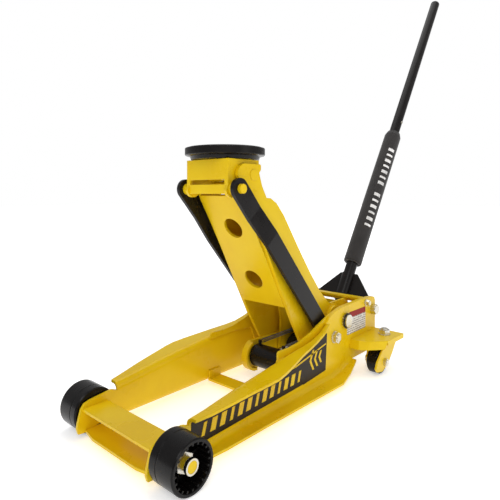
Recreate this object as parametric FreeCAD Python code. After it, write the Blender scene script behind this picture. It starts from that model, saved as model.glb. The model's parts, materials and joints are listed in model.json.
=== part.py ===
import FreeCAD, Part
import math
import os

# Trolley jack, drawn in mm. X runs forward, Y to the left, Z up.
# Every X below is measured from the front axle; ORIGIN_SHIFT moves the whole jack so that
# the frame origin lies under the middle of its bounding box.
os.makedirs("parts", exist_ok=True)
V = FreeCAD.Vector

# ---- driving dimensions
WHEEL_R = 40.0            # front roller radius
WHEEL_IN = 104.0          # inner face of a front roller
WHEEL_OUT = 159.0         # outer face of a front roller
WEB_IN = 97.0             # inner face of the side channels
WEB_OUT = 102.0           # outer face of the side channels
DOUBLER_IN = 92.0         # inner face of the inner reinforcing plates
PIVOT = (-525.0, 131.0)   # main shaft, the arm turns about it
LINK_LOW = (-474.0, 104.0)
LINK_TOP = (-186.0, 438.5)
TIP = (-237.0, 465.5)     # saddle bracket pivot at the end of the arm
LEVER = (-489.0, 59.0)    # pin that the ram plates push on
CROSSHEAD = (-370.0, 59.0)
SADDLE_X = -225.0
SADDLE_TOP = 521.0
SADDLE_R = 80.0
WALL_IN = 58.0            # arm side plates
WALL_OUT = 66.0
YOKE = (-660.0, 133.0)    # handle yoke pivot
HANDLE_LEAN = 124.7       # handle direction, degrees from the forward axis
HANDLE_BACK = 9.0         # the handle axis passes this far behind the yoke pivot
CASTER_X = -638.0         # swivel axis
CASTER_Y = 145.0
CASTER_R = 29.0
CASTER_AXLE_X = -597.0
CYL_Z = 55.0              # hydraulic cylinder axis height
PLUNGER_Z = 109.0         # pump plunger axis height
TUBE_R = 15.5             # handle tube radius
ORIGIN_SHIFT = 677.6496   # moves the bounding box middle onto X = 0


def save(name, shape):
    shape = shape.copy()
    shape.translate(V(ORIGIN_SHIFT, 0, 0))
    shape.exportStep("parts/" + name + ".step")


def box(x0, x1, y0, y1, z0, z1):
    return Part.makeBox(x1 - x0, y1 - y0, z1 - z0, V(x0, y0, z0))


def rod_y(x, z, r, y0, y1):
    return Part.makeCylinder(r, y1 - y0, V(x, y0, z), V(0, 1, 0))


def rod_x(y, z, r, x0, x1):
    return Part.makeCylinder(r, x1 - x0, V(x0, y, z), V(1, 0, 0))


def rod_z(x, y, r, z0, z1):
    return Part.makeCylinder(r, z1 - z0, V(x, y, z0), V(0, 0, 1))


def slab(outline, y0, y1):
    """A flat plate: an outline in X and Z, thick from y0 to y1."""
    pts = [V(x, y0, z) for x, z in outline]
    face = Part.Face(Part.makePolygon(pts + [pts[0]]))
    return face.extrude(V(0, y1 - y0, 0))


def tray(outline, z0, z1):
    """A flat plate: an outline in X and Y, thick from z0 to z1."""
    pts = [V(x, y, z0) for x, y in outline]
    face = Part.Face(Part.makePolygon(pts + [pts[0]]))
    return face.extrude(V(0, 0, z1 - z0))


def arc(cx, cz, r, a0, a1, n):
    """Points of an arc from angle a0 to a1 in degrees."""
    out = []
    for i in range(n + 1):
        a = math.radians(a0 + (a1 - a0) * i / n)
        out.append((cx + r * math.cos(a), cz + r * math.sin(a)))
    return out


def hexagon(cx, cz, flats, y0, y1):
    """A hexagonal prism along Y."""
    return slab(arc(cx, cz, flats / math.sqrt(3), 30, 330, 5), y0, y1)


def mirrored(shape):
    return shape.mirror(V(0, 0, 0), V(0, 1, 0))


def loft(sections):
    """A solid through equal sections, each a list of points."""
    wires = [Part.makePolygon([V(*p) for p in s + [s[0]]]) for s in sections]
    return Part.makeLoft(wires, True, True)


def fuse(shapes):
    return shapes[0].multiFuse(shapes[1:]).removeSplitter()


def between(table, x):
    """Value at x of a table of (x, value) rows that runs rearward."""
    for (xa, va), (xb, vb) in zip(table, table[1:]):
        if xb <= x <= xa:
            return va + (vb - va) * (xa - x) / (xa - xb)
    return table[-1][1]


# ---- side channels
# height of the top flange and reach of its outer edge along the jack
FLANGE_Z = [(-40, 80), (-70, 83), (-110, 89), (-150, 94.5), (-190, 99.5), (-230, 104), (-270, 108.5),
            (-310, 113.5), (-350, 117), (-380, 121), (-410, 129), (-440, 142)]
FLANGE_Y = [(-40, 118), (-70, 125.5), (-110, 133.5), (-150, 140), (-190, 147), (-212, 149.5), (-240, 146),
            (-270, 140), (-310, 131), (-350, 124), (-380, 119), (-410, 116), (-440, 111)]
FOOT_Z = [(-40, 12), (-452, 12), (-500, 19), (-545, 33)]
FOOT_Y = [(-40, 124), (-100, 129), (-210, 131), (-300, 134), (-452, 139), (-500, 130), (-545, 119)]
BEND = 14.0
SHEET = 5.0


def bent_edge(x, z, y, up):
    """Section of a flange that leaves the web through a round bend, up = 1 at the top and -1 at the foot."""
    r = min(BEND, y - WEB_IN - 3)
    outer = [(WEB_IN + r - r * math.cos(a), z - up * (r - r * math.sin(a))) for a in [i * math.pi / 12 for i in range(7)]]
    r2 = max(r - SHEET, 0.6)
    inner = [(WEB_OUT + r2 - r2 * math.cos(a), z - up * (SHEET + r2 - r2 * math.sin(a)))
             for a in [i * math.pi / 12 for i in range(7)]]
    pts = outer + [(y, z), (y, z - up * SHEET)] + inner[::-1]
    return [(x, py, pz) for py, pz in pts]


def side_channel():
    stations = sorted({x for x, _ in FLANGE_Z + FLANGE_Y}, reverse=True)
    top = loft([bent_edge(x, between(FLANGE_Z, x), between(FLANGE_Y, x), 1) for x in stations])
    stations = sorted({x for x, _ in FOOT_Z + FOOT_Y}, reverse=True)
    foot = loft([bent_edge(x, between(FOOT_Z, x), between(FOOT_Y, x), -1) for x in stations])
    upper = [(x, between(FLANGE_Z, x) - min(BEND, between(FLANGE_Y, x) - WEB_IN - 3)) for x, _ in FLANGE_Z]
    rear = [(-441, 142), (-455, 153), (-480, 161), (-505, 165), (-590, 168), (-640, 167), (-662, 165)]
    nose = [(-40, 66), (-33, 69), (-27, 70.5), (15, 65.5), (26, 62), (32, 54), (38, 32), (39.5, 22), (37, 13), (28, 12)]
    lower = [(x, between(FOOT_Z, x) + min(BEND, between(FOOT_Y, x) - WEB_IN - 3)) for x, _ in FOOT_Z]
    outline = nose[::-1] + upper[1:] + rear + [(-670, 162), (-674, 154), (-674, 34), (-546, 34)] + lower[::-1]
    web = slab(outline, WEB_IN, WEB_OUT)
    shape = fuse([web, top, foot])
    holes = [rod_y(0, 40, 10.0, 90, 110), rod_y(PIVOT[0], PIVOT[1], 15.05, 90, 110),
             rod_y(LINK_LOW[0], LINK_LOW[1], 8.05, 90, 110), rod_y(YOKE[0], YOKE[1], 8.05, 90, 110),
             rod_y(-624, 156, 5.05, 90, 110)]
    return shape.cut(Part.makeCompound(holes))


channel = side_channel()
save("side_channel_left", channel)
save("side_channel_right", mirrored(channel))


def doubler():
    outline = [(-275, 106), (-275, 116), (-279, 119.5), (-311, 118.5), (-345, 121), (-390, 132), (-420, 143), (-453, 154),
               (-505, 165), (-590, 168), (-640, 167), (-662, 165), (-670, 162), (-674, 154),
               (-674, 36), (-560, 36), (-450, 30), (-436, 40), (-410, 104), (-345, 108)]
    shape = slab(outline, DOUBLER_IN, WEB_IN)
    holes = [rod_y(PIVOT[0], PIVOT[1], 15.05, 80, 110), rod_y(LINK_LOW[0], LINK_LOW[1], 8.05, 80, 110),
             rod_y(YOKE[0], YOKE[1], 8.05, 80, 110), rod_y(-624, 156, 5.05, 80, 110)]
    return shape.cut(Part.makeCompound(holes))


inner_plate = doubler()
save("inner_plates", Part.makeCompound([inner_plate, mirrored(inner_plate)]))

# ---- cross members that tie the two sides together
front_top = tray([(-19, -WEB_IN), (29, -WEB_IN), (29, WEB_IN), (-19, WEB_IN)], 50, 55)
save("front_cross_top", front_top)
front_low = tray([(-22, -WEB_IN), (24, -WEB_IN), (31, -62), (31, 62), (24, WEB_IN), (-22, WEB_IN)], 12, 17)
save("front_cross_bottom", front_low)
strap = box(-305, -270, -WEB_IN, WEB_IN, 14, 19)
strap_ends = [box(-305, -270, y, y + 4, 14, 36) for y in (-WEB_IN, WEB_IN - 4)]
save("middle_strap", fuse([strap] + strap_ends))
back = box(-636, -631, -DOUBLER_IN, DOUBLER_IN, 122, 166)
back = back.fuse(box(-631, -619, -DOUBLER_IN, DOUBLER_IN, 161, 166)).removeSplitter()
slots = [box(-640, -628, -58, 58, 146, 152), box(-640, -628, -58, 58, 132, 138)]
save("rear_cross_plate", back.cut(Part.makeCompound(slots)))

# ---- front rollers


def lathe(profile, x, z):
    """A solid of revolution about Y: profile rows are (radius, y)."""
    pts = [V(x + r, y, z) for r, y in profile]
    face = Part.Face(Part.makePolygon(pts + [pts[0]]))
    return face.revolve(V(x, 0, z), V(0, 1, 0), 360)


def roller():
    body = lathe([(10.05, 106), (16, 106), (16, 104.5), (34, 104.5), (38, 105), (WHEEL_R, 107.5), (WHEEL_R, 121),
                  (39.3, 121.5), (39.3, 123), (WHEEL_R, 123.5), (WHEEL_R, 157), (38.5, WHEEL_OUT),
                  (34.8, WHEEL_OUT), (34.2, 158), (33, 130), (30, 124), (17, 124), (17, 127), (10.05, 127)], 0, 40)
    ribs = []
    for i in range(20):
        rib = box(30.5, 35, 126, 157.5, 38.5, 41.5)
        rib.rotate(V(0, 0, 40), V(0, 1, 0), i * 18)
        ribs.append(rib)
    for i in range(6):
        spoke = box(16, 33.5, 122, 134, 38.3, 41.7)
        spoke.rotate(V(0, 0, 40), V(0, 1, 0), i * 60 + 12)
        ribs.append(spoke)
    return fuse([body] + ribs)


front = roller()
save("front_wheel_left", front)
save("front_wheel_right", mirrored(front))


def stub_axle():
    shaft = rod_y(0, 40, 10.0, 93, 148)
    tip = rod_y(0, 40, 9.0, 148, 156)
    collar = rod_y(0, 40, 15.0, WEB_OUT, 103.5)
    return fuse([shaft, tip, collar])


axle = stub_axle()
save("front_axles", Part.makeCompound([axle, mirrored(axle)]))


def axle_hardware():
    washer = rod_y(0, 40, 15.5, 128, 130).cut(rod_y(0, 40, 10.0, 120, 140))
    nut = hexagon(0, 40, 29, 130, 141).cut(rod_y(0, 40, 10.0, 120, 150))
    ring = rod_y(0, 40, 12.0, 150.5, 156.5).cut(rod_y(0, 40, 9.0, 140, 160))
    return [washer, nut, ring]


hub = axle_hardware()
save("axle_nuts", Part.makeCompound(hub + [mirrored(s) for s in hub]))

# ---- main shaft and the hardware on the side plates
shaft = rod_y(PIVOT[0], PIVOT[1], 15.0, -112, 112)
shaft = shaft.cut(rod_y(PIVOT[0], PIVOT[1], 20, 105.5, 108).cut(rod_y(PIVOT[0], PIVOT[1], 13.4, 100, 112)))
shaft = shaft.cut(rod_y(PIVOT[0], PIVOT[1], 20, -108, -105.5).cut(rod_y(PIVOT[0], PIVOT[1], 13.4, -112, -100)))
save("main_shaft", shaft)


def circlip():
    ring = rod_y(PIVOT[0], PIVOT[1], 18.0, 105.6, 107.9).cut(rod_y(PIVOT[0], PIVOT[1], 13.5, 100, 112))
    return ring.cut(box(PIVOT[0] - 3, PIVOT[0] + 3, 100, 112, PIVOT[1] - 22, PIVOT[1] - 8))


clip = circlip()
save("shaft_circlips", Part.makeCompound([clip, mirrored(clip)]))


def link_bolt():
    """Shoulder bolt from inside: head, shank through both plates."""
    shank = rod_y(LINK_LOW[0], LINK_LOW[1], 8.0, 71, 115)
    collar = rod_y(LINK_LOW[0], LINK_LOW[1], 13.0, 86, DOUBLER_IN)
    head = rod_y(LINK_LOW[0], LINK_LOW[1], 13.0, 69.5, 75.5)
    return fuse([shank, collar, head])


bolt = link_bolt()
save("link_bolts", Part.makeCompound([bolt, mirrored(bolt)]))


def nut_on(x, z, hole, flats, washer_r, y):
    washer = rod_y(x, z, washer_r, y, y + 2).cut(rod_y(x, z, hole, y - 5, y + 9))
    nut = hexagon(x, z, flats, y + 2, y + 11).cut(rod_y(x, z, hole, y - 5, y + 20))
    return [washer, nut]


side_nuts = nut_on(LINK_LOW[0], LINK_LOW[1], 8.0, 22, 13.5, WEB_OUT)
side_nuts += nut_on(-624, 156, 5.0, 12, 8, WEB_OUT)
save("side_nuts", Part.makeCompound(side_nuts + [mirrored(s) for s in side_nuts]))
stay = rod_y(-624, 156, 5.0, DOUBLER_IN, 114)
save("guard_bolts", Part.makeCompound([stay, mirrored(stay)]))


def yoke_bolt():
    shank = rod_y(YOKE[0], YOKE[1], 8.0, 74, WEB_OUT)
    head = rod_y(YOKE[0], YOKE[1], 13.0, WEB_OUT, 115)
    head = head.makeChamfer(1.2, [e for e in head.Edges if e.BoundBox.YMin > 114])
    return shank.fuse(head).removeSplitter()


hinge_bolt = yoke_bolt()
save("yoke_bolts", Part.makeCompound([hinge_bolt, mirrored(hinge_bolt)]))

# ---- lifting arm
ARM_REAR = [(-276, 421), (-289, 420), (-309, 409), (-332, 384.7), (-390.5, 304), (-429, 253), (-470, 204)]


def shell(line, thick, y0, y1):
    """A plate that follows a line in X and Z, with its thickness on the inside of the line."""
    inner = []
    for i, (x, z) in enumerate(line):
        x0, z0 = line[max(i - 1, 0)]
        x1, z1 = line[min(i + 1, len(line) - 1)]
        length = math.hypot(x1 - x0, z1 - z0)
        inner.append((x - (z1 - z0) / length * thick, z + (x1 - x0) / length * thick))
    return slab(line + inner[::-1], y0, y1)


back_plate = shell(ARM_REAR, 6, -WALL_OUT, WALL_OUT)
save("arm_back_plate", back_plate)


def arm_wall():
    ear = [(-192, 464), (-192.8, 470)] + arc(-214, 465, 22, 20, 90, 6) + [(-256, 487), (-258.5, 484.5), (-258.5, 476)]
    rear = [(-253, 470), (-262, 444.5)] + ARM_REAR + [(-505, 173)]
    base = arc(PIVOT[0], PIVOT[1], 34, 90, 190, 8) + arc(LEVER[0], LEVER[1], 24, 200, 300, 6)
    fore = [(-412, 77), (-403.6, 89.6), (-364, 154), (-313.5, 248), (-275.6, 318), (-245.6, 371), (-219, 416), (-211, 432)]
    shape = slab(ear + rear + base + fore, WALL_IN, WALL_OUT).cut(back_plate)
    shape = shape.fuse(rod_y(PIVOT[0], PIVOT[1], 30, WALL_OUT, 74))
    holes = [rod_y(PIVOT[0], PIVOT[1], 20.0, 50, 80), rod_y(TIP[0], TIP[1], 11.0, 50, 80),
             rod_y(LEVER[0], LEVER[1], 11.0, 50, 80)]
    return shape.cut(Part.makeCompound(holes)).removeSplitter()


wall = arm_wall()
save("arm_wall_left", wall)
save("arm_wall_right", mirrored(wall))
front_plate = shell([(-216.5, 428), (-349.5, 190.5)], 6, -WALL_IN, WALL_IN)
for x, z in ((-256.5, 363), (-320, 249.5)):
    hole = Part.makeCylinder(23, 60, V(x + 30, 0, z - 17), V(-0.87, 0, 0.49))
    front_plate = front_plate.cut(hole)
save("arm_front_plate", front_plate)
bush = rod_y(PIVOT[0], PIVOT[1], 20.0, -74, 74).cut(rod_y(PIVOT[0], PIVOT[1], 15.05, -80, 80))
save("arm_bush", bush)
lever_pin = rod_y(LEVER[0], LEVER[1], 11.0, 48.2, WALL_OUT + 2)
save("lever_pins", Part.makeCompound([lever_pin, mirrored(lever_pin)]))
save("tip_pin", rod_y(TIP[0], TIP[1], 11.0, -WALL_OUT - 1, WALL_OUT + 1))

# ---- saddle bracket, link pin and saddle


def bracket():
    side = [(-174.5, 495.5), (-258, 495.5), (-262, 490), (-262, 462), (-250, 448)]
    side += arc(TIP[0], TIP[1], 20, 235, 290, 4) + [(-212, 434)] + arc(LINK_TOP[0], LINK_TOP[1], 16.5, 210, 350, 8)
    side += [(-174.5, 446)]
    cheek = slab(side, 50, 57.5)
    other = mirrored(cheek)
    face = box(-181, -174.5, -57.5, 57.5, 429, 495.5).cut(box(-190, -170, -48, 48, 447, 456))
    roof = box(-262, -174.5, -57.5, 57.5, 487.5, 495.5)
    rear = shell([(-262, 492), (-262, 462), (-250, 448)], 6, -57.5, 57.5)
    shape = fuse([cheek, other, face, roof, rear])
    holes = [rod_y(TIP[0], TIP[1], 11.05, -60, 60), rod_y(LINK_TOP[0], LINK_TOP[1], 9.0, -60, 60),
             rod_z(SADDLE_X, 0, 13.05, 470, 500)]
    return shape.cut(Part.makeCompound(holes)).removeSplitter()


save("saddle_bracket", bracket())
link_pin = rod_y(LINK_TOP[0], LINK_TOP[1], 9.0, -86, 86)
collars = [rod_y(LINK_TOP[0], LINK_TOP[1], 11.5, y, y + 12.9) for y in (-70.4, 57.5)]
save("link_pin", fuse([link_pin] + collars))


def saddle():
    z = SADDLE_TOP
    rows = [(0, z - 13), (30, z - 13), (34, z - 9), (62, z - 6), (66, z - 6), (66, z - 12), (76, z - 12), (76, z - 2.5),
            (77, z - 1.5), (79, z - 1.5), (SADDLE_R, z - 2.5), (SADDLE_R, z - 15), (78.5, z - 16.5), (70, z - 18.5), (68, z - 24.5), (18, z - 25.2), (13, z - 25.2),
            (13, z - 38), (0, z - 38)]
    pts = [V(SADDLE_X + r, 0, h) for r, h in rows]
    face = Part.Face(Part.makePolygon(pts + [pts[0]]))
    return face.revolve(V(SADDLE_X, 0, 0), V(0, 0, 1), 360)


save("saddle_cup", saddle())


def saddle_pad():
    z = SADDLE_TOP
    rows = [(66.2, z - 12), (75.8, z - 12), (75.8, z - 1.5), (74, z), (68, z), (66.2, z - 1.5)]
    pts = [V(SADDLE_X + r, 0, h) for r, h in rows]
    face = Part.Face(Part.makePolygon(pts + [pts[0]]))
    return face.revolve(V(SADDLE_X, 0, 0), V(0, 0, 1), 360)


save("saddle_pad", saddle_pad())

# ---- levelling links


def link():
    """A flat bar that steps outward below its top eye."""
    ux = LINK_TOP[0] - LINK_LOW[0]
    uz = LINK_TOP[1] - LINK_LOW[1]
    length = math.hypot(ux, uz)
    half = 20.0
    rows = [(-half, 78.0), (length - 130, 78.0), (length - 62, 71.0), (length + half, 71.0)]
    bar = []
    for (s0, y0), (s1, y1) in zip(rows, rows[1:]):
        pts = [(s0, y0), (s1, y1), (s1, y1 + 8), (s0, y0 + 8)]
        face = Part.Face(Part.makePolygon([V(s, y, -half) for s, y in pts + [pts[0]]]))
        bar.append(face.extrude(V(0, 0, 2 * half)))
    shape = fuse(bar)
    trim = Part.makeCylinder(half, 40, V(0, 60, 0), V(0, 1, 0))
    trim = trim.fuse(Part.makeCylinder(half, 40, V(length, 60, 0), V(0, 1, 0)))
    trim = trim.fuse(Part.makeBox(length, 40, 2 * half, V(0, 60, -half)))
    shape = shape.common(trim)
    shape = shape.cut(Part.makeCylinder(8.05, 40, V(0, 60, 0), V(0, 1, 0)))
    shape = shape.cut(Part.makeCylinder(9.05, 40, V(length, 60, 0), V(0, 1, 0)))
    shape.rotate(V(0, 0, 0), V(0, 1, 0), -math.degrees(math.atan2(uz, ux)))
    shape.translate(V(LINK_LOW[0], 0, LINK_LOW[1]))
    return shape


bar = link()
save("link_left", bar)
save("link_right", mirrored(bar))

# ---- ram, crosshead and the plates that push the arm lever
head = rod_y(CROSSHEAD[0], CROSSHEAD[1], 25.0, -40, 40)
head = head.fuse(rod_y(CROSSHEAD[0], CROSSHEAD[1], 11.0, -57.5, 57.5))
hooks = [rod_z(CROSSHEAD[0] - 4, y, 4.0, CROSSHEAD[1] + 20, CROSSHEAD[1] + 34) for y in (-34, 34)]
head = fuse([head] + hooks)
head = head.cut(rod_x(0, CROSSHEAD[1], 10.0, -400, -368)).cut(rod_x(0, CROSSHEAD[1], 15.0, -400, -393.5))
save("ram_crosshead", head)
ram = rod_x(0, CROSSHEAD[1], 15.0, -518, -393.5).fuse(rod_x(0, CROSSHEAD[1], 10.0, -400, -368)).removeSplitter()
save("ram_rod", ram)


def ram_plate():
    nose = arc(CROSSHEAD[0], CROSSHEAD[1] - 2, 35, 75, -100, 14)
    tail = arc(LEVER[0], LEVER[1], 23, 260, 100, 10)
    outline = [(-470, 88)] + [(-376, 90)] + nose + [(-400, 26)] + tail
    plate = slab(outline, 49, 57)
    lip = slab(arc(CROSSHEAD[0], CROSSHEAD[1] - 2, 35, 70, -95, 14) + arc(CROSSHEAD[0], CROSSHEAD[1] - 2, 29, -95, 70, 14), 41, 49)
    shape = fuse([plate, lip])
    return shape.cut(Part.makeCompound([rod_y(CROSSHEAD[0], CROSSHEAD[1], 11.0, 30, 70),
                                        rod_y(LEVER[0], LEVER[1], 11.05, 30, 70)]))


plate = ram_plate()
save("ram_plate_left", plate)
save("ram_plate_right", mirrored(plate))

# ---- hydraulic unit
unit_side = [(-458, 34), (-457, 60), (-462, 95), (-463, 122), (-456, 156), (-474, 160), (-631, 160), (-631, 122),
             (-620, 118), (-620, 34)]
cheek = slab(unit_side, 41, 47).cut(rod_y(PIVOT[0], PIVOT[1], 21.5, 30, 60))
save("unit_cheeks", Part.makeCompound([cheek, mirrored(cheek)]))
barrel = rod_x(0, CYL_Z, 30.0, -600, -470).cut(rod_x(0, CYL_Z, 21.0, -592, -460))
save("ram_cylinder", barrel)
tank = rod_x(0, CYL_Z, 38.0, -588, -485).cut(rod_x(0, CYL_Z, 30.0, -600, -470))
save("oil_tank", tank)
gland = rod_x(0, CYL_Z, 34.0, -485, -473).cut(rod_x(0, CYL_Z, 30.0, -500, -470))
save("gland_nut", gland)
block = box(-620, -588, -41, 41, 22, 118).fuse(rod_x(0, PLUNGER_Z, 12, -623, -600))
block = block.fuse(rod_x(34, 89, 3.5, -588, -580)).fuse(rod_x(-34, 89, 3.5, -588, -580))
block = block.cut(rod_x(0, CYL_Z, 30.0, -600, -580))
block = block.cut(rod_x(0, PLUNGER_Z, 7.05, -640, -588.5))
block = block.cut(rod_x(28, 60, 5.05, -640, -603))
save("pump_block", block.removeSplitter())
plunger = rod_x(0, PLUNGER_Z, 7.0, -651, -608).fuse(rod_x(0, PLUNGER_Z, 9.0, -651, -646)).removeSplitter()
save("pump_plunger", plunger)
stem = fuse([rod_x(28, 60, 5.0, -655, -604), rod_x(28, 60, 9.0, -655, -645), rod_y(-650, 60, 3.0, 14, 42)])
save("release_valve", stem)


def return_spring(y):
    """Stand-in tube for the coil between the crosshead peg and the pump block."""
    return rod_x(y, 89, 5.0, -588, -378.3).cut(rod_x(y, 89, 3.6, -600, -370))


save("return_spring_left", return_spring(34))
save("return_spring_right", return_spring(-34))

# ---- handle yoke, drawn upright about its pivot and then leaned back


def lean(shape):
    shape = shape.copy()
    shape.rotate(V(0, 0, 0), V(0, 1, 0), 90 - HANDLE_LEAN)
    shape.translate(V(YOKE[0], 0, YOKE[1]))
    return shape


def yoke_frame():
    flare = [V(-17, -88, 22), V(-17, 88, 22), V(-17, 88, 32), V(-17, 76, 36), V(-17, 26, 94), V(-17, -26, 94),
             V(-17, -76, 36), V(-17, -88, 32)]
    sheet = Part.Face(Part.makePolygon(flare + [flare[0]])).extrude(V(8, 0, 0))
    lug = slab([(-17, 32)] + arc(0, 0, 17, 180, 360, 12) + [(9, 22), (-9, 32)], 78, 88)
    socket = rod_z(-HANDLE_BACK, 0, TUBE_R + 2.5, 12, 90)
    tongue = slab([(-20, 16), (-3, 16), (-5, -20), (-9, -26), (-14, -27), (-19, -25), (-22, -18)], 8, 13)
    shape = fuse([sheet, socket, lug, mirrored(lug), tongue, mirrored(tongue)])
    shape = shape.cut(rod_y(0, 0, 8.05, 70, 95)).cut(rod_y(0, 0, 8.05, -95, -70))
    return shape.cut(rod_z(-HANDLE_BACK, 0, TUBE_R + 0.05, 18, 100))


hanger = lean(yoke_frame()).cut(rod_y(YOKE[0], PLUNGER_Z, 4.0, -20, 20))
save("yoke_frame", hanger)
follower = rod_y(YOKE[0], PLUNGER_Z, 8.0, -7.6, 7.6).fuse(rod_y(YOKE[0], PLUNGER_Z, 4.0, -13, 13)).removeSplitter()
save("yoke_roller", follower)

# ---- two-piece handle with its foam grip, drawn upright on the handle axis
GRIP = (126.0, 603.0)     # grip ends, measured from the yoke pivot
GRIP_R = 25.2
JOIN = 625.0              # the upper tube starts here
TOP = 1259.0


def on_handle(shape):
    shape = shape.copy()
    shape.translate(V(-HANDLE_BACK, 0, 0))
    return lean(shape)


lower = rod_z(0, 0, TUBE_R, 20, JOIN).fuse(rod_z(0, 0, TUBE_R - 2.1, JOIN - 5, JOIN + 55))
lower = lower.cut(rod_z(0, 0, TUBE_R - 4.1, 26, JOIN + 60)).cut(rod_y(0, JOIN + 26, 4.0, 0, 20)).removeSplitter()
save("handle_lower_tube", on_handle(lower))
foam_rows = [(TUBE_R, GRIP[0]), (GRIP_R - 3, GRIP[0]), (GRIP_R - 1, GRIP[0] + 1), (GRIP_R, GRIP[0] + 4),
             (GRIP_R, GRIP[1] - 14), (TUBE_R + 5, GRIP[1]), (TUBE_R, GRIP[1])]
foam_face = Part.Face(Part.makePolygon([V(r, 0, z) for r, z in foam_rows + [foam_rows[0]]]))
save("foam_grip", on_handle(foam_face.revolve(V(0, 0, 0), V(0, 0, 1), 360)))
upper = rod_z(0, 0, TUBE_R, JOIN, TOP)
upper = upper.makeFillet(4.0, [e for e in upper.Edges if e.BoundBox.ZMin > TOP - 1])
upper = upper.cut(rod_z(0, 0, TUBE_R - 2.1, JOIN - 1, TOP - 3)).cut(rod_y(0, JOIN + 26, 4.0, 0, 20))
save("handle_upper_tube", on_handle(upper))
save("snap_button", on_handle(rod_y(0, JOIN + 26, 4.0, TUBE_R - 4.0, TUBE_R + 2)))

# ---- rear casters
plate_front = [(-548, WEB_OUT), (-548, 124), (-562, 146), (-592, 176)]


def caster_plate():
    top = tray(plate_front + [(-675, 178), (-676, WEB_OUT)], 78, 82)
    low = [(-541, WEB_OUT), (-542, 126), (-553, 142), (-586, 171)]
    bend = []
    for (a, b), (c, d) in zip(zip(plate_front, plate_front[1:]), zip(low, low[1:])):
        upper_edge = [V(a[0], a[1], 82), V(b[0], b[1], 82), V(b[0] - 5, b[1] - 2, 82), V(a[0] - 5, a[1] - 2, 82)]
        lower_edge = [V(c[0], c[1], 62), V(d[0], d[1], 62), V(d[0] - 5, d[1] - 2, 62), V(c[0] - 5, c[1] - 2, 62)]
        bend.append(Part.makeLoft([Part.makePolygon(upper_edge + [upper_edge[0]]),
                                   Part.makePolygon(lower_edge + [lower_edge[0]])], True, True))
    side = tray([(-592, 176), (-675, 178), (-675, 174), (-594, 172)], 71, 82)
    shape = fuse([top, side] + bend)
    shape = shape.cut(box(-700, -500, 0, WEB_OUT, 0, 100))
    return shape.cut(rod_z(CASTER_X, CASTER_Y, 8.0, 50, 100))


tab = caster_plate()
save("caster_plate_left", tab)
save("caster_plate_right", mirrored(tab))
race = rod_z(CASTER_X, CASTER_Y, 20, 70.4, 78).cut(rod_z(CASTER_X, CASTER_Y, 8.0, 60, 90))
save("caster_races", Part.makeCompound([race, mirrored(race)]))
stud = rod_z(CASTER_X, CASTER_Y, 8.0, 58.8, 97).fuse(rod_z(CASTER_X, CASTER_Y, 12.0, 58.8, 64.7)).removeSplitter()
save("caster_studs", Part.makeCompound([stud, mirrored(stud)]))
turned = hexagon(0, 0, 24, 0, 10)
turned.rotate(V(0, 0, 0), V(1, 0, 0), 90)
turned.translate(V(CASTER_X, CASTER_Y, 84))
turned = turned.cut(rod_z(CASTER_X, CASTER_Y, 8.0, 80, 100))
stud_washer = rod_z(CASTER_X, CASTER_Y, 14.5, 82, 84).cut(rod_z(CASTER_X, CASTER_Y, 8.0, 80, 100))
save("caster_stud_nuts", Part.makeCompound([turned, stud_washer, mirrored(turned), mirrored(stud_washer)]))


def caster_fork():
    crown = box(-664, -604, CASTER_Y - 20.5, CASTER_Y + 20.5, 65, 70)
    outer = [(-664, 70), (-600, 70), (-560, 38), (-552, 24), (-560, 14), (-585, 10), (-608, 18), (-619, 24), (-644, 47)]
    inner = [(-664, 70), (-600, 70), (-586, 50)] + arc(CASTER_AXLE_X, CASTER_R, 16, 20, -120, 8) + [(-644, 47)]
    shape = fuse([crown, slab(outer, CASTER_Y + 16.5, CASTER_Y + 20.5), slab(inner, CASTER_Y - 20.5, CASTER_Y - 16.5)])
    shape = shape.cut(rod_z(CASTER_X, CASTER_Y, 8.05, 50, 90))
    return shape.cut(rod_y(CASTER_AXLE_X, CASTER_R, 6.0, 100, 190))


fork = caster_fork()
save("caster_fork_left", fork)
save("caster_fork_right", mirrored(fork))


def caster_wheel():
    rows = [(6.05, -15), (11, -15), (11, -12), (20, -12), (21, -14), (26, -14), (CASTER_R, -11)]
    rows = [(r, CASTER_Y + y) for r, y in rows] + [(r, CASTER_Y - y) for r, y in rows[::-1]]
    return lathe(rows, CASTER_AXLE_X, CASTER_R)


tyre = caster_wheel()
save("caster_wheel_left", tyre)
save("caster_wheel_right", mirrored(tyre))
pin = rod_y(CASTER_AXLE_X, CASTER_R, 6.0, CASTER_Y - 28, CASTER_Y + 28)
heads = [hexagon(CASTER_AXLE_X, CASTER_R, 16, CASTER_Y + 20.5, CASTER_Y + 27),
         hexagon(CASTER_AXLE_X, CASTER_R, 16, CASTER_Y - 27, CASTER_Y - 20.5)]
caster_bolt = fuse([pin] + heads)
save("caster_axle_left", caster_bolt)
save("caster_axle_right", mirrored(caster_bolt))
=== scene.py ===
import bpy
import bmesh
import json
import math
from mathutils import Matrix, Vector


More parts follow.
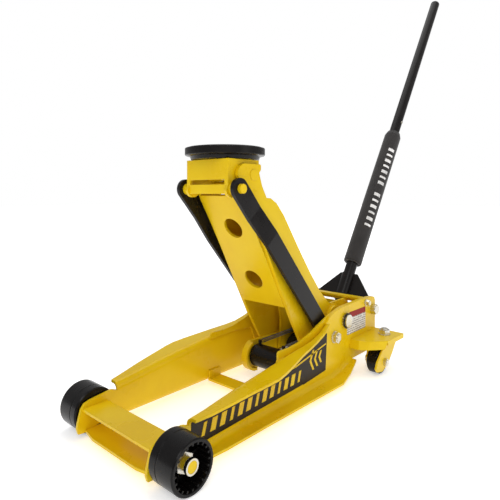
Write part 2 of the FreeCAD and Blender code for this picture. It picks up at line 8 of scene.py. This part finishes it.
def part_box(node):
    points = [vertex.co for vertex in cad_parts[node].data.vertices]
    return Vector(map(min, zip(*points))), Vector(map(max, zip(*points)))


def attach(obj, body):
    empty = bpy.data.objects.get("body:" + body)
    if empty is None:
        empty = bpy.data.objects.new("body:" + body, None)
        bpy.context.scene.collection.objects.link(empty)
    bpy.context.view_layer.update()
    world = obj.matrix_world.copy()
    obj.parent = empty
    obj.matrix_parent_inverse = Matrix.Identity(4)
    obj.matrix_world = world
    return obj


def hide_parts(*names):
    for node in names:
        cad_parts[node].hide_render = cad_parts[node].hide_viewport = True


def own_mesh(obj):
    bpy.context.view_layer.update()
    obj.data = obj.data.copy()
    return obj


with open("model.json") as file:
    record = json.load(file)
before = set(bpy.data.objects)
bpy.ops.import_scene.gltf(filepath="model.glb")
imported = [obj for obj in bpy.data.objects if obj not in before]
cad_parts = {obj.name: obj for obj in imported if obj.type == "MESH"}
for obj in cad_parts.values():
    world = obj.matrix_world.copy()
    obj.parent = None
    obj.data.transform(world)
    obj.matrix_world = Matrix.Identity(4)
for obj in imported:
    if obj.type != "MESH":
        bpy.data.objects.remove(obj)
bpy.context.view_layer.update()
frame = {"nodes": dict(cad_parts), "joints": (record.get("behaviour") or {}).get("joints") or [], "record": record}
nodes = frame["nodes"]
print("frame loaded:", len(nodes), "parts")


# where things are, in metres, read from the frame

def centreOf(node):
    low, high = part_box(node)
    return (low + high) / 2


def jointOf(name):
    return next(j for j in frame["joints"] if j["name"] == name)


axleX = centreOf("front_wheel_left").x
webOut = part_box("caster_plate_left")[0].y    # outer face of the side plates
handleFoot = Vector(jointOf("handle_twist")["pos_m"])
handleAxis = Vector(jointOf("handle_twist")["axis"]).normalized()


def pieceFrom(name, shape, finish):
    mesh = bpy.data.meshes.new(name)
    shape.to_mesh(mesh)
    shape.free()
    mesh.materials.append(finish)
    piece = bpy.data.objects.new(name, mesh)
    bpy.context.scene.collection.objects.link(piece)
    return piece


# small helpers for node materials

def newFinish(name):
    finish = bpy.data.materials.new(name)
    finish.use_nodes = True
    tree = finish.node_tree
    return finish, tree, tree.nodes["Principled BSDF"]


def addNode(tree, kind, **sockets):
    node = tree.nodes.new(kind)
    for key, value in sockets.items():
        node.inputs[key.replace("_", " ")].default_value = value
    return node


def objectPlace(tree, scale=(1, 1, 1), turn=(0, 0, 0)):
    where = tree.nodes.new("ShaderNodeTexCoord")
    fit = tree.nodes.new("ShaderNodeMapping")
    fit.inputs["Scale"].default_value = scale
    fit.inputs["Rotation"].default_value = turn
    tree.links.new(where.outputs["Object"], fit.inputs["Vector"])
    return fit.outputs["Vector"]


def noise(tree, place, scale, detail=4.0, rough=0.55):
    grain = addNode(tree, "ShaderNodeTexNoise", Scale=scale, Detail=detail, Roughness=rough)
    tree.links.new(place, grain.inputs["Vector"])
    return grain.outputs["Fac"]


def ramp(tree, fac, stops):
    band = tree.nodes.new("ShaderNodeValToRGB")
    while len(band.color_ramp.elements) < len(stops):
        band.color_ramp.elements.new(0.5)
    for element, (at, shade) in zip(band.color_ramp.elements, stops):
        element.position = at
        element.color = (*shade, 1) if len(shade) == 3 else shade
    tree.links.new(fac, band.inputs["Fac"])
    return band.outputs["Color"]


def mixShade(tree, fac, first, second, how="MIX"):
    blend = tree.nodes.new("ShaderNodeMix")
    blend.data_type = "RGBA"
    blend.blend_type = how
    for key, value in (("Factor", fac), ("A", first), ("B", second)):
        socket = blend.inputs[key]
        if isinstance(value, (float, int)):
            socket.default_value = value
        elif isinstance(value, tuple):
            socket.default_value = (*value, 1)
        else:
            tree.links.new(value, socket)
    return blend.outputs["Result"]


def roughness(tree, fac, lowAt, low, highAt, high):
    return ramp(tree, fac, [(lowAt, (low,) * 3), (highAt, (high,) * 3)])


def bump(tree, shader, height, strength, distance, base=None):
    dent = addNode(tree, "ShaderNodeBump", Strength=strength, Distance=distance)
    tree.links.new(height, dent.inputs["Height"])
    if base:
        tree.links.new(base, dent.inputs["Normal"])
    tree.links.new(dent.outputs["Normal"], shader.inputs["Normal"])
    return dent.outputs["Normal"]


def scaled(tree, value, factor):
    times = tree.nodes.new("ShaderNodeMath")
    times.operation = "MULTIPLY"
    times.inputs[1].default_value = factor
    tree.links.new(value, times.inputs[0])
    return times.outputs[0]


def paintedEdgeHighlight(tree, reach, grain):
    # painted highlight: a brighter colour where an edge is convex, broken up by the grain
    soft = addNode(tree, "ShaderNodeBevel", Radius=reach)
    soft.samples = 6
    flat = tree.nodes.new("ShaderNodeNewGeometry")
    apart = tree.nodes.new("ShaderNodeVectorMath")
    apart.operation = "DOT_PRODUCT"
    tree.links.new(soft.outputs["Normal"], apart.inputs[0])
    tree.links.new(flat.outputs["Normal"], apart.inputs[1])
    edge = ramp(tree, apart.outputs["Value"], [(0.80, (1, 1, 1)), (0.97, (0, 0, 0))])
    both = tree.nodes.new("ShaderNodeMath")
    both.operation = "MULTIPLY"
    tree.links.new(edge, both.inputs[0])
    tree.links.new(grain, both.inputs[1])
    return both.outputs["Value"], soft.outputs["Normal"]


# paints, metals and rubber

# the paler edge colour and its amount below are a painted highlight on convex edges
yellowPaint = {
    "colour": (0.82, 0.556, 0.004), "deep": (0.77, 0.500, 0.003), "pale": (0.85, 0.598, 0.008),
    "edgeHighlightColour": (0.90, 0.66, 0.10), "shine": 0.20, "coat": 0.09, "orangePeel": 0.08, "edgeHighlightAmount": 0.30,
}


def makeYellowPaint(name="yellowPaint"):
    finish, tree, shader = newFinish(name)
    place = objectPlace(tree)
    cloud = noise(tree, place, 9.0, 5.0)
    speck = noise(tree, place, 260.0, 3.0)
    drift = ramp(tree, cloud, [(0.34, yellowPaint["deep"]), (0.52, yellowPaint["colour"]),
                               (0.72, yellowPaint["pale"])])
    # painted highlight: a paler yellow laid on convex edges, broken up by noise
    highlightBreakup = ramp(tree, noise(tree, place, 60.0, 6.0, 0.7), [(0.50, (0, 0, 0)), (0.62, (1, 1, 1))])
    edgeHighlight, rounded = paintedEdgeHighlight(tree, 0.0016, highlightBreakup)
    soften = tree.nodes.new("ShaderNodeMath")
    soften.operation = "MULTIPLY"
    soften.inputs[1].default_value = yellowPaint["edgeHighlightAmount"]
    tree.links.new(edgeHighlight, soften.inputs[0])
    paint = mixShade(tree, soften.outputs["Value"], drift, yellowPaint["edgeHighlightColour"])
    tree.links.new(paint, shader.inputs["Base Color"])
    tree.links.new(roughness(tree, cloud, 0.30, 0.24, 0.75, 0.38), shader.inputs["Roughness"])
    shader.inputs["Specular IOR Level"].default_value = yellowPaint["shine"]
    shader.inputs["Coat Weight"].default_value = yellowPaint["coat"]
    shader.inputs["Coat Roughness"].default_value = 0.12
    bump(tree, shader, speck, yellowPaint["orangePeel"], 0.0003, rounded)
    return finish


def makeBlackPaint(name, shade=(0.0060, 0.0048, 0.0045), rough=(0.24, 0.38)):
    finish, tree, shader = newFinish(name)
    place = objectPlace(tree)
    cloud = noise(tree, place, 22.0, 5.0)
    dust = ramp(tree, cloud, [(0.35, shade), (0.75, tuple(c * 1.9 for c in shade))])
    # painted highlight: a lighter grey laid on convex edges, broken up by noise
    highlightBreakup = ramp(tree, noise(tree, place, 90.0, 6.0, 0.7), [(0.52, (0, 0, 0)), (0.66, (1, 1, 1))])
    edgeHighlight, rounded = paintedEdgeHighlight(tree, 0.0012, highlightBreakup)
    tree.links.new(mixShade(tree, edgeHighlight, dust, (0.045, 0.042, 0.040)), shader.inputs["Base Color"])
    shader.inputs["Specular IOR Level"].default_value = 0.17
    tree.links.new(roughness(tree, cloud, 0.3, rough[0], 0.8, rough[1]), shader.inputs["Roughness"])
    shader.inputs["Coat Weight"].default_value = 0.06
    shader.inputs["Coat Roughness"].default_value = 0.18
    bump(tree, shader, noise(tree, place, 420.0, 2.0), 0.12, 0.0003, rounded)
    return finish


def makeZinc(name, shade=(0.66, 0.65, 0.62), tint=(0.70, 0.62, 0.42), rough=(0.20, 0.38)):
    finish, tree, shader = newFinish(name)
    place = objectPlace(tree)
    cloud = noise(tree, place, 70.0, 4.0)
    tree.links.new(ramp(tree, cloud, [(0.38, shade), (0.70, tint)]), shader.inputs["Base Color"])
    shader.inputs["Metallic"].default_value = 1.0
    grain = noise(tree, place, 240.0)
    tree.links.new(roughness(tree, grain, 0.3, rough[0], 0.75, rough[1]), shader.inputs["Roughness"])
    soft = addNode(tree, "ShaderNodeBevel", Radius=0.0008)
    soft.samples = 6
    bump(tree, shader, noise(tree, place, 700.0, 2.0), 0.10, 0.0002, soft.outputs["Normal"])
    return finish


def makeMoulded(name, shade, rough, grainScale, grainDepth, shine=0.3):
    # moulded nylon and rubber: fine grain, a little dust in it
    finish, tree, shader = newFinish(name)
    place = objectPlace(tree)
    cloud = noise(tree, place, 30.0, 5.0)
    dusty = tuple(c * 1.8 for c in shade)
    tree.links.new(ramp(tree, cloud, [(0.35, shade), (0.78, dusty)]), shader.inputs["Base Color"])
    tree.links.new(roughness(tree, cloud, 0.3, rough, 0.8, rough + 0.14), shader.inputs["Roughness"])
    shader.inputs["Specular IOR Level"].default_value = shine
    soft = addNode(tree, "ShaderNodeBevel", Radius=0.0012)
    soft.samples = 6
    bump(tree, shader, noise(tree, place, grainScale, 3.0), grainDepth, 0.0005, soft.outputs["Normal"])
    return finish


def makeFoam():
    finish, tree, shader = newFinish("gripFoam")
    place = objectPlace(tree)
    cells = addNode(tree, "ShaderNodeTexVoronoi", Scale=900.0)
    tree.links.new(place, cells.inputs["Vector"])
    cloud = noise(tree, place, 26.0, 5.0)
    foamShade = ramp(tree, cloud, [(0.3, (0.017, 0.0145, 0.014)), (0.8, (0.030, 0.026, 0.025))])
    tree.links.new(foamShade, shader.inputs["Base Color"])
    shader.inputs["Roughness"].default_value = 0.82
    shader.inputs["Sheen Weight"].default_value = 0.15
    bump(tree, shader, cells.outputs["Distance"], 0.35, 0.0006)
    return finish


finishes = {
    "yellow_paint": makeYellowPaint(),
    "black_paint": makeBlackPaint("blackPaint"),
    "foam": makeFoam(),
    "rubber": makeMoulded("padRubber", (0.028, 0.027, 0.025), 0.60, 300.0, 0.35),
    "nylon": makeMoulded("rollerNylon", (0.0036, 0.0030, 0.0030), 0.20, 500.0, 0.06, 0.19),
    "zinc_steel": makeZinc("zincSteel"),
    "ram_chrome": makeZinc("ramChrome", (0.74, 0.75, 0.77), (0.70, 0.71, 0.73), (0.08, 0.16)),
    "black_oxide": makeZinc("blackOxide", (0.050, 0.048, 0.046), (0.030, 0.028, 0.026), (0.26, 0.40)),
    "spring_steel": makeZinc("springSteel", (0.24, 0.24, 0.25), (0.16, 0.15, 0.14), (0.30, 0.45)),
}
for row in frame["record"]["subparts"]:
    part = nodes[row["node"]]
    part.data.materials.clear()
    part.data.materials.append(finishes[row["material_slot"]])


# return springs: real coils in place of the tubes

returnSpring = {"wire": 0.0007, "coilRadius": 0.0043, "turns": 58, "hookTurn": 0.006, "stepsPerTurn": 14,
                "tailUp": 0.0036, "shortest": 0.655}


def addSpring(node):
    low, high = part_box(node)
    middle = (low + high) / 2
    step = (high.x - low.x - 2 * returnSpring["hookTurn"]) / returnSpring["turns"]
    wire = bmesh.new()
    bmesh.ops.create_circle(wire, segments=7, radius=returnSpring["wire"])
    bmesh.ops.rotate(wire, verts=wire.verts, matrix=Matrix.Rotation(math.pi / 2, 3, "X"), cent=(0, 0, 0))
    bmesh.ops.translate(wire, verts=wire.verts, vec=(returnSpring["coilRadius"], 0, 0))
    turnSteps = returnSpring["stepsPerTurn"]
    bmesh.ops.spin(wire, geom=wire.edges[:], cent=(0, 0, 0), axis=(0, 0, 1), dvec=(0, 0, step / turnSteps),
                   angle=2 * math.pi * returnSpring["turns"], steps=turnSteps * returnSpring["turns"])
    bmesh.ops.holes_fill(wire, edges=[e for e in wire.edges if e.is_boundary])
    bmesh.ops.recalc_face_normals(wire, faces=wire.faces)
    bmesh.ops.transform(wire, verts=wire.verts, matrix=Matrix.Rotation(math.pi / 2, 4, "Y"))
    bmesh.ops.translate(wire, verts=wire.verts, vec=(low.x + returnSpring["hookTurn"], middle.y, middle.z))
    for end, way in ((low.x, 1), (high.x, -1)):    # straight tails that reach the pegs
        tail = bmesh.ops.create_cone(wire, cap_ends=True, segments=8, radius1=returnSpring["wire"],
                                     radius2=returnSpring["wire"], depth=returnSpring["hookTurn"] * 1.6)["verts"]
        bmesh.ops.rotate(wire, verts=tail, matrix=Matrix.Rotation(math.pi / 2, 3, "Y"), cent=(0, 0, 0))
        tailAt = (end + way * returnSpring["hookTurn"] * 0.8, middle.y, middle.z + returnSpring["tailUp"])
        bmesh.ops.translate(wire, verts=tail, vec=tailAt)
    coil = pieceFrom(node + "_coil", wire, finishes["spring_steel"])
    coil.data.polygons.foreach_set("use_smooth", [True] * len(coil.data.polygons))
    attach(coil, "chassis")
    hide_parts(node)
    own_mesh(coil)


for side in ("left", "right"):
    addSpring("return_spring_" + side)
print("springs wound")


# flat decals: thin skins laid on the painted faces

def addDecal(name, corners, thick, finish):
    # corners run round the outline on the painted face; the skin grows outward by thick
    sheet = bmesh.new()
    ring = [sheet.verts.new(c) for c in corners]
    face = sheet.faces.new(ring)
    sheet.normal_update()
    outward = Vector((0, math.copysign(1, corners[0][1]), 0))
    if face.normal.dot(outward) < 0:
        face.normal_flip()
    grown = bmesh.ops.extrude_face_region(sheet, geom=[face])["geom"]
    raised = [g for g in grown if isinstance(g, bmesh.types.BMVert)]
    bmesh.ops.translate(sheet, verts=raised, vec=outward * thick)
    bmesh.ops.recalc_face_normals(sheet, faces=sheet.faces)
    decal = pieceFrom(name, sheet, finish)
    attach(decal, "chassis")


# lengths along the channel are from the front axle, heights from the floor
sideBanner = {
    "front": -0.045, "rear": -0.352, "lowFront": 0.028, "lowRear": 0.035, "topFront": 0.069, "topRear": 0.077,
    "skin": 0.0005, "badgeSkin": 0.0008, "inkThick": 0.0004, "inkOut": 0.0007, "markOut": 0.0010,
    "badge": [(-0.318, 0.074), (-0.345, 0.096), (-0.442, 0.120), (-0.436, 0.040), (-0.352, 0.034)],
    "rule": [(-0.322, 0.0785), (-0.437, 0.0985)], "ruleWidth": 0.0034,
    "bars": 13, "barStart": 0.09, "barRun": 0.86, "barWide": 0.0125, "barNarrow": 0.0075, "barTall": 0.52,
    "barLean": 0.30, "chevrons": (0.021, 0.017, 0.013), "chevronAt": -0.376, "chevronUp": 0.076,
    "chevronStep": 0.017, "chevronWide": 0.0065,
}
warningLabel = {"rear": -0.621, "front": -0.531, "low": 0.095, "high": 0.147, "bandFrom": 0.74,
                "cutDown": 0.012, "cutAlong": 0.010, "skin": 0.0004, "rowGap": 0.0026}


def sidePoints(rows, sign):
    return [(axleX + x, sign * webOut, z) for x, z in rows]


bannerVinyl = makeBlackPaint("bannerVinyl", (0.0120, 0.0080, 0.0055), (0.30, 0.40))    # smooth brown-black vinyl
goldVinyl = makeYellowPaint("goldVinyl")


def addBanner(side, sign):
    b = sideBanner
    strip = [(b["front"], b["lowFront"]), (b["front"], b["topFront"]),
             (b["rear"], b["topRear"]), (b["rear"], b["lowRear"])]
    addDecal("side_banner_" + side, sidePoints(strip, sign), b["skin"], bannerVinyl)
    addDecal("side_badge_" + side, sidePoints(b["badge"], sign), b["badgeSkin"], bannerVinyl)
    # slanted bars along the strip
    run = b["rear"] - b["front"]
    bars = bmesh.new()
    for i in range(b["bars"]):
        t = b["barStart"] + b["barRun"] * i / (b["bars"] - 1)
        x = axleX + b["front"] + run * t
        low = b["lowFront"] + (b["lowRear"] - b["lowFront"]) * t
        high = b["topFront"] + (b["topRear"] - b["topFront"]) * t
        made = bmesh.ops.create_cube(bars, size=1.0)["verts"]
        width = b["barWide"] if i % 3 else b["barNarrow"]
        bmesh.ops.scale(bars, verts=made, vec=(width, b["inkThick"], (high - low) * b["barTall"]))
        for v in made:
            v.co.x -= v.co.z * b["barLean"]
        bmesh.ops.translate(bars, verts=made, vec=(x, sign * (webOut + b["inkOut"]), (low + high) / 2))
    # one thin rule climbs from the strip across the badge
    (x0, z0), (x1, z1) = b["rule"]
    slope = Matrix.Rotation(-math.atan2(z1 - z0, x1 - x0), 3, "Y")
    middle = (axleX + (x0 + x1) / 2, sign * (webOut + b["markOut"]), (z0 + z1) / 2)
    made = bmesh.ops.create_cube(bars, size=1.0)["verts"]
    bmesh.ops.scale(bars, verts=made, vec=(math.hypot(x1 - x0, z1 - z0), b["inkThick"], b["ruleWidth"]))
    bmesh.ops.rotate(bars, verts=made, matrix=slope, cent=(0, 0, 0))
    bmesh.ops.translate(bars, verts=made, vec=middle)
    marks = pieceFrom("banner_bars_" + side, bars, goldVinyl)
    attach(marks, "chassis")
    # plain chevrons on the badge
    chevrons = bmesh.new()
    for i, reach in enumerate(b["chevrons"]):
        x = axleX + b["chevronAt"] - i * b["chevronStep"]
        for way in (1, -1):
            made = bmesh.ops.create_cube(chevrons, size=1.0)["verts"]
            bmesh.ops.scale(chevrons, verts=made, vec=(b["chevronWide"], b["inkThick"], reach))
            for v in made:
                v.co.x -= way * v.co.z * 0.55
            place = (x - 0.275 * reach, sign * (webOut + b["markOut"]), b["chevronUp"] + way * reach / 2)
            bmesh.ops.translate(chevrons, verts=made, vec=place)
    mark = pieceFrom("badge_chevrons_" + side, chevrons, goldVinyl)
    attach(mark, "chassis")


def makeLabelPaper():
    # white label with grey rows of marks under a red band, drawn from height and length alone
    finish, tree, shader = newFinish("labelPaper")
    place = objectPlace(tree)
    apart = tree.nodes.new("ShaderNodeSeparateXYZ")
    tree.links.new(place, apart.inputs[0])
    rows = addNode(tree, "ShaderNodeMath")
    rows.operation = "PINGPONG"
    rows.inputs[1].default_value = warningLabel["rowGap"]
    tree.links.new(apart.outputs["Z"], rows.inputs[0])
    rowPlace = scaled(tree, rows.outputs[0], 1 / warningLabel["rowGap"])
    rowMask = ramp(tree, rowPlace, [(0.46, (0, 0, 0)), (0.54, (1, 1, 1))])
    words = ramp(tree, noise(tree, objectPlace(tree, (1, 0, 0.25)), 420.0, 1.0), [(0.44, (0, 0, 0)), (0.48, (1, 1, 1))])
    marks = mixShade(tree, 1.0, rowMask, words, "MULTIPLY")
    paper = mixShade(tree, marks, (0.78, 0.75, 0.70), (0.24, 0.22, 0.21))
    span = warningLabel["high"] - warningLabel["low"]
    band = tree.nodes.new("ShaderNodeMapRange")
    edge = warningLabel["low"] + span * warningLabel["bandFrom"]
    band.inputs["From Min"].default_value = edge - 0.0003
    band.inputs["From Max"].default_value = edge + 0.0003
    tree.links.new(apart.outputs["Z"], band.inputs["Value"])
    tree.links.new(mixShade(tree, band.outputs["Result"], paper, (0.30, 0.008, 0.006)), shader.inputs["Base Color"])
    shader.inputs["Roughness"].default_value = 0.42
    shader.inputs["Specular IOR Level"].default_value = 0.15
    bump(tree, shader, noise(tree, place, 300.0), 0.05, 0.0002)
    return finish


labelPaper = makeLabelPaper()
for side, sign in (("left", 1), ("right", -1)):
    addBanner(side, sign)
labelFront, labelRear = warningLabel["front"], warningLabel["rear"]
labelLow, labelHigh = warningLabel["low"], warningLabel["high"]
labelOutline = [(labelFront, labelLow), (labelFront, labelHigh - warningLabel["cutDown"]),
                (labelFront - warningLabel["cutAlong"], labelHigh), (labelRear, labelHigh), (labelRear, labelLow)]
addDecal("warning_label", sidePoints(labelOutline, 1), warningLabel["skin"], labelPaper)
print("decals laid")


# pale marks printed along the foam grip

gripMarks = {"footUp": 0.126, "length": 0.477, "from": 0.25, "to": 0.83, "count": 14, "proud": 0.0004,
             "wide": 0.020, "tall": 0.0105, "short": 0.0070, "thick": 0.0020, "gapAt": 6, "turn": 52}


def addGripMarks():
    low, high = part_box("foam_grip")
    radius = (high.y - low.y) / 2
    start = handleFoot + handleAxis * gripMarks["footUp"]
    marks = bmesh.new()
    for i in range(gripMarks["count"]):
        t = gripMarks["from"] + (gripMarks["to"] - gripMarks["from"]) * i / (gripMarks["count"] - 1)
        if i == gripMarks["gapAt"]:
            continue    # a gap between two runs of marks
        made = bmesh.ops.create_cube(marks, size=1.0)["verts"]
        height = gripMarks["tall" if i % 2 else "short"]
        bmesh.ops.scale(marks, verts=made, vec=(gripMarks["thick"], gripMarks["wide"], height))
        across = [e for e in marks.edges if all(v in made for v in e.verts)]
        fold = [e for e in across if abs(e.verts[0].co.y - e.verts[1].co.y) > 0.01]
        bmesh.ops.subdivide_edges(marks, edges=fold, cuts=7)
        chunk = [v for v in marks.verts if v.tag is False]
        for v in chunk:    # wrap it round the grip
            angle = v.co.y / radius
            rise = radius + gripMarks["proud"] + (v.co.x - gripMarks["thick"] / 2)
            v.co.x, v.co.y = rise * math.cos(angle), rise * math.sin(angle)
            v.tag = True
        bmesh.ops.translate(marks, verts=chunk, vec=(0, 0, gripMarks["length"] * t))
    aboutGrip = Matrix.Rotation(math.radians(gripMarks["turn"]), 3, "Z")
    alongHandle = Vector((0, 0, 1)).rotation_difference(handleAxis).to_matrix()
    bmesh.ops.rotate(marks, verts=marks.verts, matrix=aboutGrip, cent=(0, 0, 0))
    bmesh.ops.rotate(marks, verts=marks.verts, matrix=alongHandle, cent=(0, 0, 0))
    bmesh.ops.translate(marks, verts=marks.verts, vec=start)
    bmesh.ops.recalc_face_normals(marks, faces=marks.faces)
    piece = pieceFrom("grip_marks", marks, makeMoulded("gripInk", (0.62, 0.61, 0.60), 0.5, 400.0, 0.15))
    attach(piece, "handle")


addGripMarks()
print("grip marked")


# floor, light and camera

studio = {"floor": (0.96, 0.96, 0.96), "sides": 0.40, "overhead": 0.60, "key": 22.0, "fill": 8.0, "top": 40.0,
          "glowNear": 0.48, "glowFar": 0.72}


def addFloor():
    floor = bmesh.new()
    bmesh.ops.create_grid(floor, x_segments=1, y_segments=1, size=14)
    finish, tree, shader = newFinish("paleFloor")
    shader.inputs["Base Color"].default_value = (*studio["floor"], 1)
    shader.inputs["Roughness"].default_value = 0.85
    shader.inputs["Specular IOR Level"].default_value = 0.1
    shader.inputs["Emission Color"].default_value = (1, 1, 1, 1)
    far = tree.nodes.new("ShaderNodeVectorMath")
    far.operation = "LENGTH"
    tree.links.new(objectPlace(tree), far.inputs[0])
    glow = tree.nodes.new("ShaderNodeMapRange")    # the far floor melts into the backdrop
    glow.interpolation_type = "SMOOTHSTEP"
    glow.inputs["From Min"].default_value, glow.inputs["From Max"].default_value = 0.9, 2.6
    glow.inputs["To Min"].default_value = studio["glowNear"]
    glow.inputs["To Max"].default_value = studio["glowFar"]
    tree.links.new(far.outputs["Value"], glow.inputs["Value"])
    tree.links.new(glow.outputs["Result"], shader.inputs["Emission Strength"])
    pieceFrom("floor", floor, finish)


def addLamp(name, at, aim, size, power):
    lamp = bpy.data.lights.new(name, "AREA")
    lamp.shape = "DISK"
    lamp.size = size
    lamp.energy = power
    holder = bpy.data.objects.new(name, lamp)
    holder.location = at
    holder.rotation_euler = (Vector(aim) - Vector(at)).to_track_quat("-Z", "Y").to_euler()
    bpy.context.scene.collection.objects.link(holder)


addFloor()
addLamp("keyLamp", (2.4, 1.6, 2.6), (0, 0, 0.3), 1.6, studio["key"])
addLamp("fillLamp", (-0.4, 3.2, 1.4), (0, 0, 0.3), 2.0, studio["fill"])
addLamp("topLamp", (-0.9, -0.6, 3.6), (-0.3, -0.3, 0.0), 3.6, studio["top"])
world = bpy.data.worlds.new("studio")
world.use_nodes = True
backdrop = world.node_tree.nodes["Background"]
backdrop.inputs["Color"].default_value = (1, 1, 1, 1)
rays = world.node_tree.nodes.new("ShaderNodeLightPath")    # the backdrop itself stays white
toward = world.node_tree.nodes.new("ShaderNodeTexCoord")
upward = world.node_tree.nodes.new("ShaderNodeSeparateXYZ")
world.node_tree.links.new(toward.outputs["Generated"], upward.inputs[0])
dome = world.node_tree.nodes.new("ShaderNodeMapRange")    # brighter overhead than at the sides
dome.inputs["From Min"].default_value = 0.0
dome.inputs["To Min"].default_value = studio["sides"]
dome.inputs["To Max"].default_value = studio["overhead"]
world.node_tree.links.new(upward.outputs["Z"], dome.inputs["Value"])
strength = world.node_tree.nodes.new("ShaderNodeMapRange")
strength.inputs["To Max"].default_value = 1.0
world.node_tree.links.new(dome.outputs["Result"], strength.inputs["To Min"])
world.node_tree.links.new(rays.outputs["Is Camera Ray"], strength.inputs["Value"])
world.node_tree.links.new(strength.outputs["Result"], backdrop.inputs["Strength"])
bpy.context.scene.world = world
bpy.context.scene.view_settings.view_transform = "Standard"

view = {"ahead": 0.4387, "left": 0.6535, "height": 0.4309, "yaw": 221.48, "pitch": -0.25,
        "lens": 33.35, "shift": -0.1102}
lens = bpy.data.cameras.new("camera")
lens.lens = view["lens"]
lens.sensor_width = 36
lens.shift_y = view["shift"]
camera = bpy.data.objects.new("camera", lens)
camera.location = (axleX + view["ahead"], view["left"], view["height"])
camera.rotation_euler = (math.radians(90 + view["pitch"]), 0, math.radians(view["yaw"] - 90))
bpy.context.scene.collection.objects.link(camera)
bpy.context.scene.camera = camera
print("stage lit")
